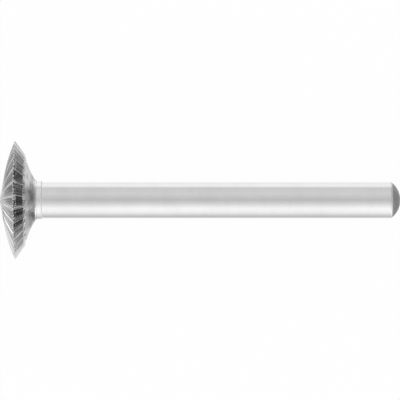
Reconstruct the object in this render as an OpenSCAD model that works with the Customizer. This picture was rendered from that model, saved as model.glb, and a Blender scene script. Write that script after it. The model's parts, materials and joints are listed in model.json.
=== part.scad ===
// Rotary burr: a toothed carbide head brazed to a ground steel shank.
// The head is a disc with a crowned front face and a conical back face that meet in a sharp rim.
// Both faces have the same number of teeth, and the teeth of the two faces meet at the rim.
// The burr lies on a flat surface, which it touches with its rim and with the free end of its shank.
// X runs along the burr from the nose to the free end, and Z is up.

/* [Overall] */
// Length from the nose to the free end
overall_length = 33; // [25:0.5:50]

/* [Cutting head] */
// Diameter over the teeth at the rim
head_d = 9.84; // [8:0.02:11.5]
// Radius of the crowned front face
front_radius = 12; // [10:0.5:16]
// Angle between the nose's cone and the axis
nose_angle = 78.8; // [77:0.2:80]
// Diameter of the small flat at the nose
nose_flat_d = 0.5; // [0.3:0.05:0.8]
// Angle between the back face and the axis
back_angle = 55; // [50:1:58]
// Width of the back face, from the rim in towards the corner where the neck begins
back_face_w = 1.17; // [0.9:0.01:1.3]
// Length of the head, from the nose to the braze joint
head_length = 2.93; // [2.7:0.01:3.2]
// Diameter of the neck at the braze joint
neck_d = 3.3; // [3.1:0.02:3.4]
// Radius of the neck's hollow curve
neck_radius = 5.8; // [5:0.1:9]

/* [Teeth] */
// Number of teeth on each face
tooth_count = 26; // [22:1:30]
// Depth of the gullets at the rim, towards the axis
gullet_depth = 0.46; // [0.4:0.02:0.7]
// Width of the narrow land behind each cutting edge, at the rim
land_width = 0.06; // [0.02:0.01:0.12]
// How far the front face's gullets reach in from the rim
front_flute_w = 3.5; // [2.6:0.05:3.6]
// Radius of the rounded floor of the front face's gullets, seen from the side
flute_floor_radius = 24; // [16:1:60]
// How far past the corner, towards the axis, the back face's gullets run out on the neck
runout_w = 0.5; // [0.3:0.05:0.7]
// Direction of cut, seen from the shank's free end
cut = "clockwise"; // [clockwise, anticlockwise]

/* [Braze joint] */
// Thickness of the solder, which fills the step from the neck down to the collar
braze_t = 0.09; // [0.05:0.01:0.15]

/* [Shank] */
// Diameter of the ground shank
shank_d = 3; // [2.9:0.01:3.02]
// Diameter of the collar at the joint
collar_d = 3.19; // [3.16:0.01:3.22]
// Diameter of the collar where its bevel begins, which is a little less
collar_end_d = 3.17; // [3.12:0.01:3.18]
// Length of the collar, with its bevel
collar_length = 0.47; // [0.3:0.01:0.8]
// Length of the bevel between the collar and the ground shank
collar_bevel = 0.06; // [0.03:0.01:0.12]
// Height of the crowned free end
crown_height = 0.75; // [0.5:0.05:0.9]
// Diameter of the small flat at the free end
end_flat_d = 0.58; // [0.4:0.02:0.8]

/* [Hidden] */
$fn = 96;
head_r = head_d / 2;
nose_r = nose_flat_d / 2;
corner_r = head_r - back_face_w;
shank_r = shank_d / 2;
end_r = end_flat_d / 2;

// The crown of the front face is part of a ball, and the nose's cone runs into it without an edge
cone_r = front_radius * cos(nose_angle);
cone_z = (cone_r - nose_r) / tan(nose_angle);
ball_z = cone_z + front_radius * sin(nose_angle);
rim_z = ball_z - sqrt(pow(front_radius, 2) - pow(head_r, 2));
corner_z = rim_z + (head_r - corner_r) / tan(back_angle);

// Height of the front face above the nose, at a radius
function front_z(r) = r < cone_r
    ? (r - nose_r) / tan(nose_angle)
    : ball_z - sqrt(pow(front_radius, 2) - pow(r, 2));

// Centre of the arc of radius rad from p to q, on the left of the way from p to q
function arc_centre(p, q, rad) =
    let (d = q - p, half = norm(d) / 2, out = sqrt(pow(rad, 2) - pow(half, 2)) / norm(d))
    [(p[0] + q[0]) / 2 - d[1] * out, (p[1] + q[1]) / 2 + d[0] * out];

// Teeth: a gullet is a notch with one wall in a plane through the axis and one that slopes up to the next land
pitch_a = 360 / tooth_count;
land_a = land_width / head_r * 180 / PI;
gullet_r = head_r - gullet_depth;
gap_a = pitch_a - land_a;
relief_slope = (head_r * cos(gap_a) - gullet_r) / (head_r * sin(gap_a));
cutter_w = 1.3 * head_r * sin(pitch_a);
cutter_h = 2 * gullet_depth;
hand = cut == "clockwise" ? 0 : 1;

// Floor of a front gullet: an arc that is flatter than the crown, from where the gullet starts to the rim
front_start = [head_r - front_flute_w, front_z(head_r - front_flute_w)];
rim_floor = [gullet_r, rim_z];
front_c = arc_centre(front_start, rim_floor, flute_floor_radius);
front_slope = relief_slope * (gullet_r - front_c[0]) / flute_floor_radius;
cutter_over = gullet_depth;

// Floor of a back gullet: a straight line from the rim to where the gullet runs out on the neck
joint = [neck_d / 2, head_length];
corner = [corner_r, corner_z];
neck_c = arc_centre(joint, corner, neck_radius);
runout_r = corner_r - runout_w;
runout = [runout_r, neck_c[1] - sqrt(pow(neck_radius, 2) - pow(neck_c[0] - runout_r, 2))];
back_v = runout - rim_floor;
back_floor_angle = atan2(back_v[0], back_v[1]);
back_slope = relief_slope * cos(back_floor_angle);

// The crowned free end is part of a ball too
crown_z = overall_length - crown_height;
crown_ball_z = (pow(overall_length, 2) - pow(crown_z, 2) + pow(end_r, 2) - pow(shank_r, 2)) / (2 * crown_height);
crown_radius = sqrt(pow(overall_length - crown_ball_z, 2) + pow(end_r, 2));

// At rest the burr stands on the lands of two neighbouring teeth and on the crown's edge
rest_r = head_r * cos(gap_a / 2);
rest_tilt = atan((rest_r - shank_r) / (crown_z - rim_z));
rest_lift = rest_r * cos(rest_tilt) + rim_z * sin(rest_tilt);
rest_mid = (overall_length * cos(rest_tilt) + (end_r - nose_r) * sin(rest_tilt)) / 2;

// Carries a piece that is drawn along its own axis, nose at the origin, to where it lies
module at_rest() {
    translate([-rest_mid, 0, rest_lift])
        rotate([0, 90 + rest_tilt, 0])
            children();
}

// Half section of the head before its teeth are ground
module head_section() {
    difference() {
        union() {
            polygon([
                [0, 0], [nose_r, 0], [cone_r, cone_z], [head_r, rim_z], corner, joint, [0, head_length]
            ]);
            intersection() {
                translate([0, ball_z]) circle(r = front_radius);
                polygon([[cone_r, cone_z], [head_r, cone_z], [head_r, rim_z]]);
            }
        }
        translate(neck_c) circle(r = neck_radius);
    }
}

// What is ground away for one front gullet
module front_gullet() {
    difference() {
        translate([front_start[0], -cutter_w, -cutter_over])
            cube([front_flute_w + cutter_over, cutter_w, rim_z + 2 * cutter_over]);
        translate([front_c[0], 0, front_c[1]])
            rotate([90, 0, 0])
                cylinder(r1 = flute_floor_radius, r2 = flute_floor_radius + cutter_w * front_slope, h = cutter_w);
    }
}

// What is ground away for one back gullet
module back_gullet() {
    translate([gullet_r, 0, rim_z])
        rotate([0, back_floor_angle, 0])
            translate([0, 0, -cutter_over])
                linear_extrude(height = norm(back_v) + 2 * cutter_over)
                    polygon([[0, 0], [cutter_h, 0], [cutter_h, -cutter_w], [cutter_w * back_slope, -cutter_w]]);
}

module cutting_head() {
    color("dimgray") at_rest() mirror([0, hand, 0])
        difference() {
            rotate_extrude() head_section();
            for (k = [0 : tooth_count - 1])
                rotate([0, 0, (k + 0.5) * pitch_a - land_a / 2]) {
                    front_gullet();
                    back_gullet();
                }
        }
}

module braze_joint() {
    color("lightgray") at_rest()
        translate([0, 0, head_length]) cylinder(d1 = neck_d, d2 = collar_d, h = braze_t);
}

module shank() {
    foot_z = head_length + braze_t;
    bevel_z = foot_z + collar_length - collar_bevel;
    color("silver") at_rest() {
        translate([0, 0, foot_z]) cylinder(d1 = collar_d, d2 = collar_end_d, h = collar_length - collar_bevel);
        translate([0, 0, bevel_z]) cylinder(d1 = collar_end_d, d2 = shank_d, h = collar_bevel);
        translate([0, 0, bevel_z]) cylinder(d = shank_d, h = crown_z - bevel_z);
        intersection() {
            translate([0, 0, crown_ball_z]) sphere(r = crown_radius);
            translate([0, 0, crown_z]) cylinder(d = shank_d, h = crown_height);
        }
    }
}

cutting_head();
braze_joint();
shank();
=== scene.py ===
import json
import math

import bmesh
import bpy
from mathutils import Matrix, Vector


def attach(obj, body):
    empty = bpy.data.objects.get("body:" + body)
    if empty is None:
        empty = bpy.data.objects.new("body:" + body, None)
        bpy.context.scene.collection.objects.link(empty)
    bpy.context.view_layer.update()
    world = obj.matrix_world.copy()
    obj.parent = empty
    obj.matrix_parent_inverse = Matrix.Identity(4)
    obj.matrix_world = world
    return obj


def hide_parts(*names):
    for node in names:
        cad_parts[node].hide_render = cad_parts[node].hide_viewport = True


# A carbide rotary burr that lies on a white floor. Lengths are in millimetres, along the burr's own axis
# from the nose at 0 to the free end. Each piece is carried to where it lies, in metres, when it is made.

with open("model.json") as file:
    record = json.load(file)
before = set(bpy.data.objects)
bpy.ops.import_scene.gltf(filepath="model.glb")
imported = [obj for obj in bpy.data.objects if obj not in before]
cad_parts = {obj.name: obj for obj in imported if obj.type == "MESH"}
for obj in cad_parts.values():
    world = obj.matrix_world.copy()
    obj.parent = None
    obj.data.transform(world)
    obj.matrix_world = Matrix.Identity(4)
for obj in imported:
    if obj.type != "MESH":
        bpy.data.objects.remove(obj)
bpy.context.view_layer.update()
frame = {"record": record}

MM = 0.001

# Sizes of the burr, as in the part's own source
LENGTH = 33.0
HEAD_R = 4.92
NOSE_R = 0.25
FRONT_BALL_R = 12.0
NOSE_ANGLE = math.radians(78.8)
BACK_ANGLE = math.radians(55)
CORNER_R = 3.75
NECK_R = 1.65
NECK_CURVE_R = 5.8
HEAD_LENGTH = 2.93
TOOTH_COUNT = 26
GULLET_R = 4.46
LAND_WIDTH = 0.06
FLUTE_START_R = 1.42
FLUTE_FLOOR_R = 24.0
RUNOUT_R = 3.25
BRAZE_T = 0.09
COLLAR_R = 1.595
COLLAR_END_R = 1.585
COLLAR_LENGTH = 0.47
COLLAR_BEVEL = 0.06
SHANK_R = 1.5
CROWN_HEIGHT = 0.75
END_FLAT_R = 0.29

# Where the floor of a back gullet starts to curve out, as radius and place along the axis
FLOOR_BEND = (3.45, 1.965)
# Share of the pitch that the flat margin behind each cutting edge takes, and the share at which a gullet
# is deepest and its steep wall begins
MARGIN = 0.17
BOTTOM = 0.96
# Fall of the margin, and hollow of the ground steps behind it, as shares of the gullet's depth
FRONT_MARGIN_FALL = 0.06
BACK_MARGIN_FALL = 0.15
FRONT_HOLLOW = 0.065
BACK_HOLLOW = 0.02
# How far the shank's edges are broken
EDGE_BREAK = 0.02
CROWN_BREAK = 0.04

CROWN_Z = LENGTH - CROWN_HEIGHT
FOOT_Z = HEAD_LENGTH + BRAZE_T
COLLAR_END_Z = FOOT_Z + COLLAR_LENGTH

# The crown of the front face is part of a ball, and the nose's cone runs into it without an edge
CONE_R = FRONT_BALL_R * math.cos(NOSE_ANGLE)
CONE_Z = (CONE_R - NOSE_R) / math.tan(NOSE_ANGLE)
BALL_Z = CONE_Z + FRONT_BALL_R * math.sin(NOSE_ANGLE)
RIM_Z = BALL_Z - math.sqrt(FRONT_BALL_R ** 2 - HEAD_R ** 2)
CORNER_Z = RIM_Z + (HEAD_R - CORNER_R) / math.tan(BACK_ANGLE)

# Where the burr lies: the shank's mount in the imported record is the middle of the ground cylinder
shank_mount = next(m for m in frame["record"]["mounts"] if m["name"] == "shank")
AXIS = Vector(shank_mount["axis"]).normalized()
SIDE = Vector((0, 1, 0))
DOWN = SIDE.cross(AXIS)
NOSE = Vector(shank_mount["pos_m"]) - AXIS * (COLLAR_END_Z + CROWN_Z) / 2 * MM
LIE = Matrix((DOWN, SIDE, AXIS)).transposed().to_4x4()
LIE.translation = NOSE

# The camera looks square at the burr's axis, from a little to one side of straight above
CAMERA_LEAN = math.radians(11.5)
TO_CAMERA = -DOWN * math.cos(CAMERA_LEAN) - SIDE * math.sin(CAMERA_LEAN)
CAMERA_UP = TO_CAMERA.cross(AXIS)
CAMERA_AWAY = 0.375
PHOTO_WIDTH = 33.0 * MM
PHOTO_DROP = 0.01 * MM


def grey(level, cool=0.0):
    """A grey, with a trace more blue where it is cool."""
    return level, level, level + cool, 1


class Value:
    """A socket that carries a number, on which sums written in Python become Math nodes."""

    def __init__(self, tree, socket):
        self.tree = tree
        self.socket = socket

    def sum(self, operation, *values):
        return self.tree.add("ShaderNodeMath", {"operation": operation}, *values)

    def __add__(self, other):
        return self.sum("ADD", self, other)

    def __sub__(self, other):
        return self.sum("SUBTRACT", self, other)

    def __rsub__(self, other):
        return self.sum("SUBTRACT", other, self)

    def __mul__(self, other):
        return self.sum("MULTIPLY", self, other)

    def __truediv__(self, other):
        return self.sum("DIVIDE", self, other)

    __radd__ = __add__
    __rmul__ = __mul__


class Tree:
    """A node tree, filled one node at a time."""

    def __init__(self, nodes_of):
        nodes_of.use_nodes = True
        self.tree = nodes_of.node_tree
        self.tree.nodes.clear()

    def add(self, kind, settings, *values, out=0, **named):
        """Adds a node, sets it up, fills its sockets in order or by name, and gives one of its outputs."""
        node = self.tree.nodes.new(kind)
        stops = settings.pop("stops", None)
        for name, setting in settings.items():
            setattr(node, name, setting)
        if stops:
            ramp = node.color_ramp.elements
            while len(ramp) < len(stops):
                ramp.new(1)
            for element, (place, shade) in zip(ramp, stops):
                element.position = place
                element.color = (*([shade] * 3 if isinstance(shade, float) else shade), 1)
        for socket, value in list(enumerate(values)) + list(named.items()):
            if isinstance(socket, str):
                socket = socket.replace("_", " ")
            if isinstance(value, Value):
                self.tree.links.new(value.socket, node.inputs[socket])
            elif value is not None:
                node.inputs[socket].default_value = value
        return Value(self, node.outputs[out]) if node.outputs else node

    def vector(self, operation, *values, out=0):
        return self.add("ShaderNodeVectorMath", {"operation": operation}, *values, out=out)

    def blend(self, factor, dark, light):
        """A colour between two, by a number from 0 to 1."""
        settings = {"data_type": "RGBA", "clamp_factor": True}
        return self.add("ShaderNodeMix", settings, factor, None, None, None, None, None, dark, light, out=2)

    def smooth(self, value, low, high):
        """0 below low, 1 above high and a smooth rise between them."""
        settings = {"interpolation_type": "SMOOTHSTEP"}
        return self.add("ShaderNodeMapRange", settings, value, low, high)

    def band(self, value, start, full, fade, end):
        """1 from full to fade, with a smooth rise before it and a smooth fall after it."""
        return self.smooth(value, start, full) * (1.0 - self.smooth(value, fade, end))

    def noise(self, place, scale, detail=3.0, roughness=0.5):
        return self.add("ShaderNodeTexNoise", {}, place, None, scale, detail, roughness)


class Metal(Tree):
    """A ground metal with coordinates on the burr: millimetres across and along its own axis."""

    def __init__(self, name):
        self.material = bpy.data.materials.new(name)
        super().__init__(self.material)
        here = self.add("ShaderNodeTexCoord", {}, out=3)
        settings = {"vector_type": "TEXTURE"}
        self.place = self.add("ShaderNodeMapping", settings, here, NOSE, LIE.to_euler(), (MM, MM, MM))
        parts = self.add("ShaderNodeSeparateXYZ", {}, self.place)
        self.x = parts
        self.y = Value(self, parts.socket.node.outputs[1])
        self.z = Value(self, parts.socket.node.outputs[2])
        flat = self.add("ShaderNodeCombineXYZ", {}, self.x, self.y, 0.0)
        self.r = self.vector("LENGTH", flat, out=1)
        self.round = self.vector("NORMALIZE", flat)

    def around(self, turns, along, across=0.0):
        """Coordinates for a pattern that is as fine round the axis, along it and out from it as given."""
        ring = self.vector("SCALE", self.round, None, None, turns)
        lift = self.add("ShaderNodeCombineXYZ", {}, 0.0, 0.0, self.z * along + self.r * across)
        return self.vector("ADD", ring, lift)

    def finish(self, colour, roughness, height, depth, metallic=1.0):
        """Joins the patterns to the metal's surface and gives the material."""
        bump = self.add("ShaderNodeBump", {}, Strength=1.0, Distance=depth, Height=height)
        surface = self.add(
            "ShaderNodeBsdfPrincipled",
            {},
            Base_Color=colour,
            Metallic=metallic,
            Roughness=roughness,
            Normal=bump,
        )
        self.add("ShaderNodeOutputMaterial", {}, surface)
        return self.material


def ground_carbide():
    """Bright where it is ground, dull and darker on the neck, with grinding lines that run to the axis,
    painted highlights on its walls, crest, run-outs and front gullets, edges that are partly worn and partly
    painted highlight, and a painted shade line behind each front margin.
    """
    metal = Metal("ground_carbide")
    lines = metal.noise(metal.around(90.0, 0.4, 0.4), 1.0, 2.0)
    coarse = metal.noise(metal.around(28.0, 0.5, 0.5), 1.0, 2.0)
    patches = metal.noise(metal.place, 1.6, 4.0)
    grain = metal.noise(metal.place, 30.0, 3.0, 0.7)
    chips = metal.noise(metal.place, 7.0, 2.0, 0.6)

    # Zones from the nose to the joint. The rim is chipped behind its crest, and the back gullets run out on
    # the neck in short marks.
    front = 1.0 - metal.smooth(metal.z, RIM_Z - 0.02, RIM_Z)
    crest = metal.band(metal.z, RIM_Z - 0.04, RIM_Z - 0.01, RIM_Z + 0.04, RIM_Z + 0.07)
    past_chips = metal.smooth(metal.z - chips * 0.2, RIM_Z + 0.1, RIM_Z + 0.16)
    rim = metal.smooth(metal.z, RIM_Z + 0.01, RIM_Z + 0.03) * (1.0 - past_chips)
    neck = metal.smooth(metal.z, 2.10, 2.16) * (1.0 - metal.smooth(metal.r, 3.15, 3.25))
    flank = 1.0 - neck
    # The run-out of the back gullets, painted paler in beads below: a painted highlight over its short
    # grinding marks.
    runout = metal.smooth(metal.z - metal.r * 0.237 + patches * 0.6, 1.43, 1.45) * flank

    # Place across a tooth, as the share of the pitch from its cutting edge
    turn = metal.y.sum("ARCTAN2", metal.y, metal.x)
    teeth = (turn + LAND_WIDTH / HEAD_R / 2) * (TOOTH_COUNT / 2 / math.pi) + 0.5
    share = teeth.sum("FRACT", teeth)
    # Cutting edges, whose lands are painted paler below, wider and paler on the front: partly wear and
    # partly a painted highlight.
    edge = (1.0 - metal.smooth(share - front * 0.2, 0.03, 0.06)) * flank
    # The step behind each front margin, painted dark below as a painted shade line in that crease.
    step = metal.band(share, 0.19, 0.22, 0.27, 0.31) * front
    # Bottoms of the front gullets, painted paler below as a painted highlight.
    lit_gullet_bottom = metal.smooth(share, 0.6, 0.9) * front
    wall = metal.smooth(share, 0.95, 0.962)
    rounded = metal.band(share, 0.0, 0.2, 0.95, 1.0) * front
    # Beads round the axis, painted pale below as painted glints on the crest and on the run-out.
    glint_beads_turn = turn * 4.0 * TOOTH_COUNT
    glint_beads = metal.smooth(glint_beads_turn.sum("COSINE", glint_beads_turn), -0.2, 0.6)
    flecks = metal.smooth(metal.noise(metal.place, 3.5, 3.0, 0.6), 0.52, 0.6)
    streaks = metal.smooth(coarse, 0.5, 0.6) * (1.0 - front)

    shade = metal.smooth(lines * 0.2 + coarse * 0.5 + patches * 0.3, 0.38, 0.62)
    relief = metal.blend(shade, grey(0.39, 0.005), grey(0.67, 0.005))
    # The steep walls are painted paler than the relief, palest on the front: a painted highlight.
    lit_walls = metal.blend(front, grey(0.72, 0.005), grey(0.95))
    ground_with_lit_walls = metal.blend(wall, relief, lit_walls)
    # Paler marks: painted glints on the crest and run-out, edges that are partly worn and partly painted
    # highlight, chips behind the rim, grinding streaks on the back and painted highlight in the front gullet
    # bottoms.
    wear_and_painted_highlights = crest * glint_beads + edge * (front * 0.4 + 0.3) + runout * glint_beads * 0.7
    wear_and_painted_highlights = wear_and_painted_highlights + rim * flecks * 0.5 + streaks * 0.6 + lit_gullet_bottom * 0.6
    worn_and_painted_light = metal.blend(wear_and_painted_highlights, ground_with_lit_walls, grey(0.95))
    # A painted shade line in the step behind each front margin.
    worn_and_painted_light = metal.blend(step * 0.7, worn_and_painted_light, grey(0.2))
    lathe = metal.noise(metal.around(0.6, 4.5), 1.0, 3.0, 0.6)
    rough = (patches * 0.5 + grain * 0.5) * 0.65 + lathe * 0.35
    raw = metal.blend(metal.smooth(rough, 0.40, 0.58), grey(0.44, 0.005), grey(0.86))
    colour = metal.blend(neck, worn_and_painted_light, raw)

    wear = runout * 0.2 + edge * (0.45 - front * 0.1) + crest * glint_beads * 0.5 + rim * flecks * 0.4
    roughness = flank * (lines * 0.10 + 0.14 + wear) + neck * (grain * 0.2 + 0.27)
    marks = lines * 0.4 + coarse * 1.1 + chips * (rim + runout * 2.0) + rounded * 8.0
    height = flank * marks + neck * (grain * 0.6 + chips * 1.5 + lathe)
    return metal.finish(colour, roughness, height, depth=0.008 * MM)


def silver_solder():
    """A satin fillet with a few small pits."""
    metal = Metal("silver_solder")
    pits = metal.noise(metal.place, 9.0, 4.0, 0.6)
    shade = metal.smooth(pits, 0.35, 0.65)
    colour = metal.blend(shade, (0.74, 0.735, 0.72, 1), (0.92, 0.915, 0.90, 1))
    return metal.finish(colour, pits * 0.2 + 0.3, pits, depth=0.008 * MM)


def ground_steel():
    """Fine rings from the grinder, a satin collar and bevel, and a dark free end with a light lip."""
    metal = Metal("ground_steel")
    rings = metal.noise(metal.around(0.8, 26.0), 1.0, 3.0, 0.6)
    fine = metal.noise(metal.around(1.5, 90.0), 1.0, 2.0)
    cloud = metal.noise(metal.place, 0.5, 3.0)
    grain = metal.noise(metal.place, 9.0, 4.0, 0.7)

    collar = 1.0 - metal.smooth(metal.z, COLLAR_END_Z - 0.04, COLLAR_END_Z)
    bevel = metal.band(metal.z, COLLAR_END_Z - 0.1, COLLAR_END_Z - 0.08, COLLAR_END_Z, COLLAR_END_Z + 0.03)
    dark_end = metal.smooth(metal.z + grain * 0.06, CROWN_Z + 0.10, CROWN_Z + 0.18)
    lip = metal.smooth(metal.z, CROWN_Z - 0.03, CROWN_Z) * (1.0 - dark_end)

    shade = metal.smooth(rings * 0.25 + cloud * 0.35 + grain * 0.4, 0.35, 0.65)
    bright = metal.blend(shade, grey(0.575, 0.005), grey(0.625, 0.005))
    plain = metal.blend(collar, bright, grey(0.635))
    plain = metal.blend(bevel + lip * 0.7, plain, grey(0.85))
    burnt = metal.blend(metal.smooth(grain, 0.35, 0.65), grey(0.26, 0.002), grey(0.42, 0.002))
    colour = metal.blend(dark_end, plain, burnt)

    roughness = rings * 0.04 + fine * 0.03 + 0.08 + (bevel + lip) * 0.6 + dark_end * 0.4
    height = rings * 0.6 + fine * 0.4 + dark_end * grain * 3.0
    return metal.finish(colour, roughness, height, depth=0.0012 * MM, metallic=1.0 - dark_end * 0.6)


def arc_centre(start, end, radius):
    """Centre of an arc between two points, on the left of the way from the first to the second."""
    way = Vector(end) - Vector(start)
    out = math.sqrt(radius ** 2 - (way.length / 2) ** 2) / way.length
    return (Vector(start) + Vector(end)) / 2 + Vector((-way.y, way.x)) * out


def arc_points(centre, radius, start, end, count):
    """Points on an arc between two points of it, without the first."""
    a0 = math.atan2(start[1] - centre[1], start[0] - centre[0])
    a1 = math.atan2(end[1] - centre[1], end[0] - centre[0])
    turn = (a1 - a0 + math.pi) % (2 * math.pi) - math.pi
    angles = [a0 + turn * k / count for k in range(1, count + 1)]
    return [(centre[0] + radius * math.cos(a), centre[1] + radius * math.sin(a)) for a in angles]


def turned(name, profile, segments):
    """A closed solid turned from a profile of radius and place, which starts and ends on the axis."""
    mesh = bmesh.new()
    first = mesh.verts.new((0, 0, profile[0][1]))
    last = mesh.verts.new((0, 0, profile[-1][1]))
    rings = []
    for radius, z in profile[1:-1]:
        angles = [2 * math.pi * k / segments for k in range(segments)]
        rings.append([mesh.verts.new((radius * math.cos(a), radius * math.sin(a), z)) for a in angles])
    for k in range(segments):
        after = (k + 1) % segments
        mesh.faces.new((first, rings[0][after], rings[0][k]))
        mesh.faces.new((last, rings[-1][k], rings[-1][after]))
        for low, high in zip(rings, rings[1:]):
            mesh.faces.new((low[k], low[after], high[after], high[k]))
    bmesh.ops.recalc_face_normals(mesh, faces=mesh.faces)
    for corner in mesh.verts:
        corner.co *= MM
    bmesh.ops.transform(mesh, matrix=LIE, verts=mesh.verts)
    data = bpy.data.meshes.new(name)
    mesh.to_mesh(data)
    mesh.free()
    piece = bpy.data.objects.new(name, data)
    bpy.context.scene.collection.objects.link(piece)
    return piece


def settle(piece, node, crease):
    """Smooths a finished piece up to its creases and puts it in the frame."""
    piece.data.shade_smooth()
    piece.data.set_sharp_from_angle(angle=math.radians(crease))
    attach(piece, "root")
    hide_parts(node)


def front_z(r):
    """Place along the axis of the front face before its teeth are ground, at a radius."""
    if r < CONE_R:
        return (r - NOSE_R) / math.tan(NOSE_ANGLE)
    return BALL_Z - math.sqrt(FRONT_BALL_R ** 2 - r ** 2)


def lerp(a, b, t):
    return a + (b - a) * t


def front_rows():
    """The front face from the nose to the rim, each point with the gullet's floor under it."""
    smooth_rows, flute_rows = 5, 28
    for k in range(smooth_rows):
        r = lerp(NOSE_R, FLUTE_START_R, k / smooth_rows)
        yield Vector((r, front_z(r))), Vector((r, front_z(r)))
    start = (FLUTE_START_R, front_z(FLUTE_START_R))
    rim_floor = (GULLET_R, RIM_Z)
    floor_centre = arc_centre(start, rim_floor, FLUTE_FLOOR_R)
    floors = [start] + arc_points(floor_centre, FLUTE_FLOOR_R, start, rim_floor, flute_rows)
    for k, floor in enumerate(floors):
        r = lerp(FLUTE_START_R, HEAD_R, k / flute_rows)
        yield Vector((r, front_z(r))), Vector(floor)


def back_rows():
    """The back face and the neck from the rim to the joint, each point with the gullet's floor under it."""
    flank_rows, runout_rows, neck_rows = 14, 8, 12
    rim = Vector((HEAD_R, RIM_Z))
    rim_floor = Vector((GULLET_R, RIM_Z))
    corner = Vector((CORNER_R, CORNER_Z))
    joint = Vector((NECK_R, HEAD_LENGTH))
    bend = Vector(FLOOR_BEND)
    neck = arc_centre(joint, corner, NECK_CURVE_R)
    runout = Vector((RUNOUT_R, neck.y - math.sqrt(NECK_CURVE_R ** 2 - (neck.x - RUNOUT_R) ** 2)))
    for k in range(1, flank_rows + 1):
        yield rim.lerp(corner, k / flank_rows), rim_floor.lerp(bend, k / flank_rows)
    slope = (bend - rim_floor).normalized()
    way = runout - bend
    normal = Vector((slope.y, -slope.x))
    wheel_r = way.dot(way) / (2 * way.dot(normal))
    floors = arc_points(bend + normal * wheel_r, abs(wheel_r), bend, runout, runout_rows)
    for face, floor in zip(arc_points(neck, NECK_CURVE_R, corner, runout, runout_rows), floors):
        yield Vector(face), Vector(floor)
    for point in arc_points(neck, NECK_CURVE_R, runout, joint, neck_rows):
        yield Vector(point), Vector(point)


def tooth_columns(margin_fall):
    """Columns across one tooth: share of the pitch from its edge, share of the gullet's depth, hollow."""
    land = LAND_WIDTH / HEAD_R / (2 * math.pi / TOOTH_COUNT)
    land_fall = 0.02
    columns = [(0.0, 0.0, 0.0), (land, land_fall, 0.0), (MARGIN, margin_fall, 0.0)]
    facets = 4
    steps = 4
    for facet in range(facets):
        for step in range(1, steps + 1):
            t = step / steps
            u = lerp(MARGIN, BOTTOM, (facet + t) / facets)
            depth = lerp(margin_fall, 1.0, (facet + t) / facets)
            columns.append((u, depth, 4 * t * (1 - t)))
    wall = [(0.975, 0.95), (0.985, 0.75), (0.993, 0.4), (1.0, 0.0)]
    return columns + [(u, depth, 0.0) for u, depth in wall]


def tooth_mesh():
    """One tooth of the head, with its share of the nose, the neck and the joint's face."""
    rows = [(face, floor, FRONT_HOLLOW, tooth_columns(FRONT_MARGIN_FALL)) for face, floor in front_rows()]
    rows += [(face, floor, BACK_HOLLOW, tooth_columns(BACK_MARGIN_FALL)) for face, floor in back_rows()]
    pitch = 2 * math.pi / TOOTH_COUNT
    mesh = bmesh.new()
    grid = []
    for face, floor, hollow, columns in rows:
        line = []
        for u, depth, sag in columns:
            point = face.lerp(floor, depth + hollow * sag)
            angle = (u - 0.5) * pitch - LAND_WIDTH / HEAD_R / 2
            line.append(mesh.verts.new((point.x * math.cos(angle), point.x * math.sin(angle), point.y)))
        grid.append(line)
    nose = mesh.verts.new((0, 0, rows[0][0].y))
    joint = mesh.verts.new((0, 0, rows[-1][0].y))
    for k in range(len(grid[0]) - 1):
        mesh.faces.new((nose, grid[0][k + 1], grid[0][k]))
        mesh.faces.new((joint, grid[-1][k], grid[-1][k + 1]))
        for low, high in zip(grid, grid[1:]):
            mesh.faces.new((low[k], low[k + 1], high[k + 1], high[k]))
    for corner in mesh.verts:
        corner.co *= MM
    data = bpy.data.meshes.new("one_tooth")
    mesh.to_mesh(data)
    mesh.free()
    piece = bpy.data.objects.new("one_tooth", data)
    bpy.context.scene.collection.objects.link(piece)
    return piece


def ring_of_teeth():
    """Geometry Nodes: sets one tooth round the axis, closes the ring into one solid and lays it down."""
    tree = bpy.data.node_groups.new("ring_of_teeth", "GeometryNodeTree")
    face = tree.interface
    face.new_socket("Geometry", in_out="INPUT", socket_type="NodeSocketGeometry")
    face.new_socket("Geometry", in_out="OUTPUT", socket_type="NodeSocketGeometry")
    names = {
        "Tooth": "NodeSocketObject",
        "Teeth": "NodeSocketInt",
        "Turn": "NodeSocketVector",
        "Place": "NodeSocketVector",
        "Weld": "NodeSocketFloat",
        "Metal": "NodeSocketMaterial",
    }
    for name, kind in names.items():
        face.new_socket(name, in_out="INPUT", socket_type=kind)

    def add(kind, settings=(), **links):
        node = tree.nodes.new(kind)
        for name, setting in dict(settings).items():
            setattr(node, name, setting)
        for name, value in links.items():
            socket = node.inputs[name.replace("_", " ")]
            if isinstance(value, bpy.types.NodeSocket):
                tree.links.new(value, socket)
            else:
                socket.default_value = value
        return node

    given = add("NodeGroupInput").outputs
    spots = add("GeometryNodePoints", Count=given["Teeth"]).outputs[0]
    step = add("ShaderNodeMath", {"operation": "DIVIDE"})
    step.inputs[0].default_value = 2 * math.pi
    tree.links.new(given["Teeth"], step.inputs[1])
    angle = add("ShaderNodeMath", {"operation": "MULTIPLY"})
    tree.links.new(add("GeometryNodeInputIndex").outputs[0], angle.inputs[0])
    tree.links.new(step.outputs[0], angle.inputs[1])
    spin = add("ShaderNodeCombineXYZ", Z=angle.outputs[0]).outputs[0]
    tooth = add("GeometryNodeObjectInfo", {"transform_space": "ORIGINAL"}, Object=given["Tooth"])
    copies = add(
        "GeometryNodeInstanceOnPoints", Points=spots, Instance=tooth.outputs["Geometry"], Rotation=spin
    ).outputs[0]
    whole = add("GeometryNodeRealizeInstances", Geometry=copies).outputs[0]
    welded = add("GeometryNodeMergeByDistance", Geometry=whole, Distance=given["Weld"]).outputs[0]
    laid = add(
        "GeometryNodeTransform", Geometry=welded, Translation=given["Place"], Rotation=given["Turn"]
    ).outputs[0]
    plain = add("GeometryNodeRealizeInstances", Geometry=laid).outputs[0]
    done = add("GeometryNodeSetMaterial", Geometry=plain, Material=given["Metal"]).outputs[0]
    tree.links.new(done, add("NodeGroupOutput").inputs[0])
    return tree


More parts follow.
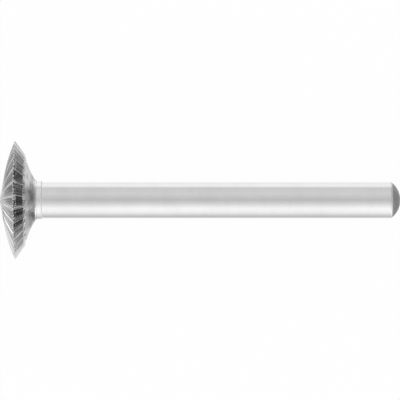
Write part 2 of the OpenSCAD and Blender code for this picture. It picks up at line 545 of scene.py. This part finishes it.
def cutting_head():
    tooth = tooth_mesh()
    seed = bpy.data.objects.new("head_seed", bpy.data.meshes.new("head_seed"))
    bpy.context.scene.collection.objects.link(seed)
    ring = seed.modifiers.new("ring", "NODES")
    ring.node_group = ring_of_teeth()
    inputs = {
        "Tooth": tooth,
        "Teeth": TOOTH_COUNT,
        "Turn": tuple(LIE.to_euler()),
        "Place": tuple(NOSE),
        "Weld": 0.0002 * MM,
        "Metal": ground_carbide(),
    }
    for item in ring.node_group.interface.items_tree:
        if item.in_out == "INPUT" and item.name in inputs:
            ring[item.identifier] = inputs[item.name]
    bpy.context.view_layer.update()
    view = bpy.context.evaluated_depsgraph_get()
    data = bpy.data.meshes.new_from_object(seed.evaluated_get(view))
    bpy.data.objects.remove(seed)
    bpy.data.objects.remove(tooth)
    data.name = "cutting_head_teeth"
    head = bpy.data.objects.new("cutting_head_teeth", data)
    bpy.context.scene.collection.objects.link(head)
    settle(head, "cutting_head", crease=12)


def braze():
    """The solder's thin ring, which swells a little between the neck and the collar."""
    profile = [(0, HEAD_LENGTH), (NECK_R, HEAD_LENGTH)]
    swell = 0.012
    steps = 6
    for k in range(1, steps):
        t = k / steps
        radius = lerp(NECK_R, COLLAR_R, t) + swell * math.sin(math.pi * t)
        profile.append((radius, lerp(HEAD_LENGTH, FOOT_Z, t)))
    profile += [(COLLAR_R, FOOT_Z), (0, FOOT_Z)]
    ring = turned("braze_fillet", profile, segments=128)
    ring.data.materials.append(silver_solder())
    settle(ring, "braze_joint", crease=40)


def shank():
    """The collar, the ground shank and its crowned end, with their edges just broken."""
    crown_ball_z = (LENGTH ** 2 - CROWN_Z ** 2 + END_FLAT_R ** 2 - SHANK_R ** 2) / (2 * CROWN_HEIGHT)
    crown_ball_r = math.hypot(LENGTH - crown_ball_z, END_FLAT_R)
    bevel_z = COLLAR_END_Z - COLLAR_BEVEL
    half = EDGE_BREAK / 2
    chamfer = 0.3 * CROWN_BREAK
    profile = [(0, FOOT_Z), (COLLAR_R - EDGE_BREAK, FOOT_Z), (COLLAR_R, FOOT_Z + EDGE_BREAK)]
    profile += [(COLLAR_END_R, bevel_z - EDGE_BREAK), (COLLAR_END_R - 0.8 * half, bevel_z - half)]
    profile += [(SHANK_R + half, COLLAR_END_Z - half), (SHANK_R, COLLAR_END_Z)]
    rows = 40
    for k in range(1, rows):
        profile.append((SHANK_R, lerp(COLLAR_END_Z, CROWN_Z, k / rows)))
    profile += [(SHANK_R, CROWN_Z - CROWN_BREAK), (SHANK_R - chamfer, CROWN_Z - chamfer)]
    profile += arc_points((0, crown_ball_z), crown_ball_r, (SHANK_R, CROWN_Z), (END_FLAT_R, LENGTH), 24)
    profile += [(0, LENGTH)]
    rod = turned("ground_shank", profile, segments=160)
    rod.data.materials.append(ground_steel())
    settle(rod, "shank", crease=18)


def floor():
    """A white floor with a trace of the burr's shadow, through which the metal sees the tent below it."""
    half = 1.5
    gap = 0.01 * MM
    plain_white = 0.97
    corners = [(-half, -half, 0), (half, -half, 0), (half, half, 0), (-half, half, 0)]
    data = bpy.data.meshes.new("floor")
    data.from_pydata(corners, [], [(0, 1, 2, 3)])
    ground = bpy.data.objects.new("floor", data)
    ground.location.z = -gap
    bpy.context.scene.collection.objects.link(ground)
    material = bpy.data.materials.new("white_floor")
    paint = Tree(material)
    camera = paint.add("ShaderNodeLightPath", {}, out=0)
    glossy = Value(paint, camera.socket.node.outputs["Is Glossy Ray"])
    matt = paint.add("ShaderNodeBsdfDiffuse", {}, grey(0.9))
    glow = paint.add("ShaderNodeEmission", {}, grey(1.0), 1.0)
    seen = paint.add("ShaderNodeMixShader", {}, camera * plain_white, matt, glow)
    open_floor = paint.add("ShaderNodeBsdfTransparent", {})
    paint.add("ShaderNodeOutputMaterial", {}, paint.add("ShaderNodeMixShader", {}, glossy, seen, open_floor))
    data.materials.append(material)


# Brightness of the tent round the burr, by the angle across its axis, which is 0 towards the camera and
# grows towards the foot of the picture. TENT_TOP is above all of it, because a ramp holds no more than 1.
TENT = [
    (-180, 1.15), (-145, 1.25), (-110, 1.44), (-98, 1.38), (-84, 0.96), (-40, 1.02), (0, 0.82), (20, 1.03),
    (54, 1.53), (80, 1.46), (98, 1.23), (128, 0.77), (150, 1.0), (180, 1.15),
]
TENT_TOP = 2.0
# How much of that is left along the burr, from behind the nose at -1 to beyond the free end at 1
TENT_ENDS = [
    (-1.0, 0.6), (-0.8, 0.7), (-0.35, 0.8), (-0.12, 1.0), (0.3, 1.0), (0.6, 0.8), (0.85, 0.45), (1.0, 0.42),
]
# Cards in the tent: the way to each from the burr, as shares towards the camera, the foot of the picture
# and the free end, then the cosines of the angles at its edge and at its core, and the share of light that
# it takes, which is below 0 for a card that gives light.
CARDS = [
    ((-0.5, 0.0, -0.87), 0.74, 0.95, 0.58),
    ((-0.78, -0.25, -0.57), 0.95, 0.985, -0.5),
    ((-0.31, 0.15, 0.94), 0.91, 0.965, 0.92),
    ((-0.64, 0.44, 0.63), 0.955, 0.98, 0.93),
    ((-0.87, 0.38, 0.31), 0.965, 0.99, 0.6),
    ((-0.87, -0.38, 0.31), 0.965, 0.99, 0.5),
    ((-0.2, -0.42, 0.88), 0.90, 0.96, 0.3),
    ((0.05, -0.75, 0.66), 0.93, 0.98, 0.55),
    ((0.36, -0.2, 0.91), 0.945, 0.98, 0.6),
    ((-0.15, 0.65, 0.745), 0.90, 0.97, -1.2),
]


def light_tent():
    """A white tent with dim ends and cards in it round the burr, and plain white for the camera."""
    world = bpy.data.worlds.new("light_tent")
    bpy.context.scene.world = world
    tent = Tree(world)
    ray = tent.add("ShaderNodeTexCoord", {}, out=0)
    towards = tent.vector("DOT_PRODUCT", ray, TO_CAMERA, out=1)
    below = tent.vector("DOT_PRODUCT", ray, -CAMERA_UP, out=1)
    along = tent.vector("DOT_PRODUCT", ray, AXIS, out=1)
    angle = below.sum("ARCTAN2", below, towards) / (2 * math.pi) + 0.5
    stops = [((degrees + 180) / 360, value / TENT_TOP) for degrees, value in TENT]
    ring = tent.add("ShaderNodeValToRGB", {"stops": stops}, angle)
    stops = [((far + 1) / 2, left) for far, left in TENT_ENDS]
    ends = tent.add("ShaderNodeValToRGB", {"stops": stops}, along * 0.5 + 0.5)
    light = tent.add("ShaderNodeRGBToBW", {}, ring) * TENT_TOP * tent.add("ShaderNodeRGBToBW", {}, ends)
    for (near, low, far), edge, core, taken in CARDS:
        middle = (TO_CAMERA * near - CAMERA_UP * low + AXIS * far).normalized()
        card = tent.smooth(tent.vector("DOT_PRODUCT", ray, middle, out=1), edge, core)
        light = light * (1.0 - card * taken)
    lamp = tent.add("ShaderNodeBackground", {}, grey(1.0), light)
    white = tent.add("ShaderNodeBackground", {}, grey(1.0), 1.0)
    seen = tent.add("ShaderNodeLightPath", {}, out=0)
    tent.add("ShaderNodeOutputWorld", {}, tent.add("ShaderNodeMixShader", {}, seen, lamp, white))


def camera():
    """The photograph's view, square at the middle of the burr."""
    data = bpy.data.cameras.new("camera")
    data.sensor_width = 36.0
    data.lens = data.sensor_width * CAMERA_AWAY / PHOTO_WIDTH
    data.clip_start = 0.01
    data.clip_end = 10.0
    eye = bpy.data.objects.new("camera", data)
    bpy.context.scene.collection.objects.link(eye)
    aim = NOSE + AXIS * LENGTH / 2 * MM + CAMERA_UP * PHOTO_DROP
    turn = Matrix((AXIS, CAMERA_UP, TO_CAMERA)).transposed().to_4x4()
    turn.translation = aim + TO_CAMERA * CAMERA_AWAY
    eye.matrix_world = turn
    bpy.context.scene.camera = eye


camera()
cutting_head()
braze()
shank()
floor()
light_tent()
bpy.context.scene.view_settings.view_transform = "Standard"
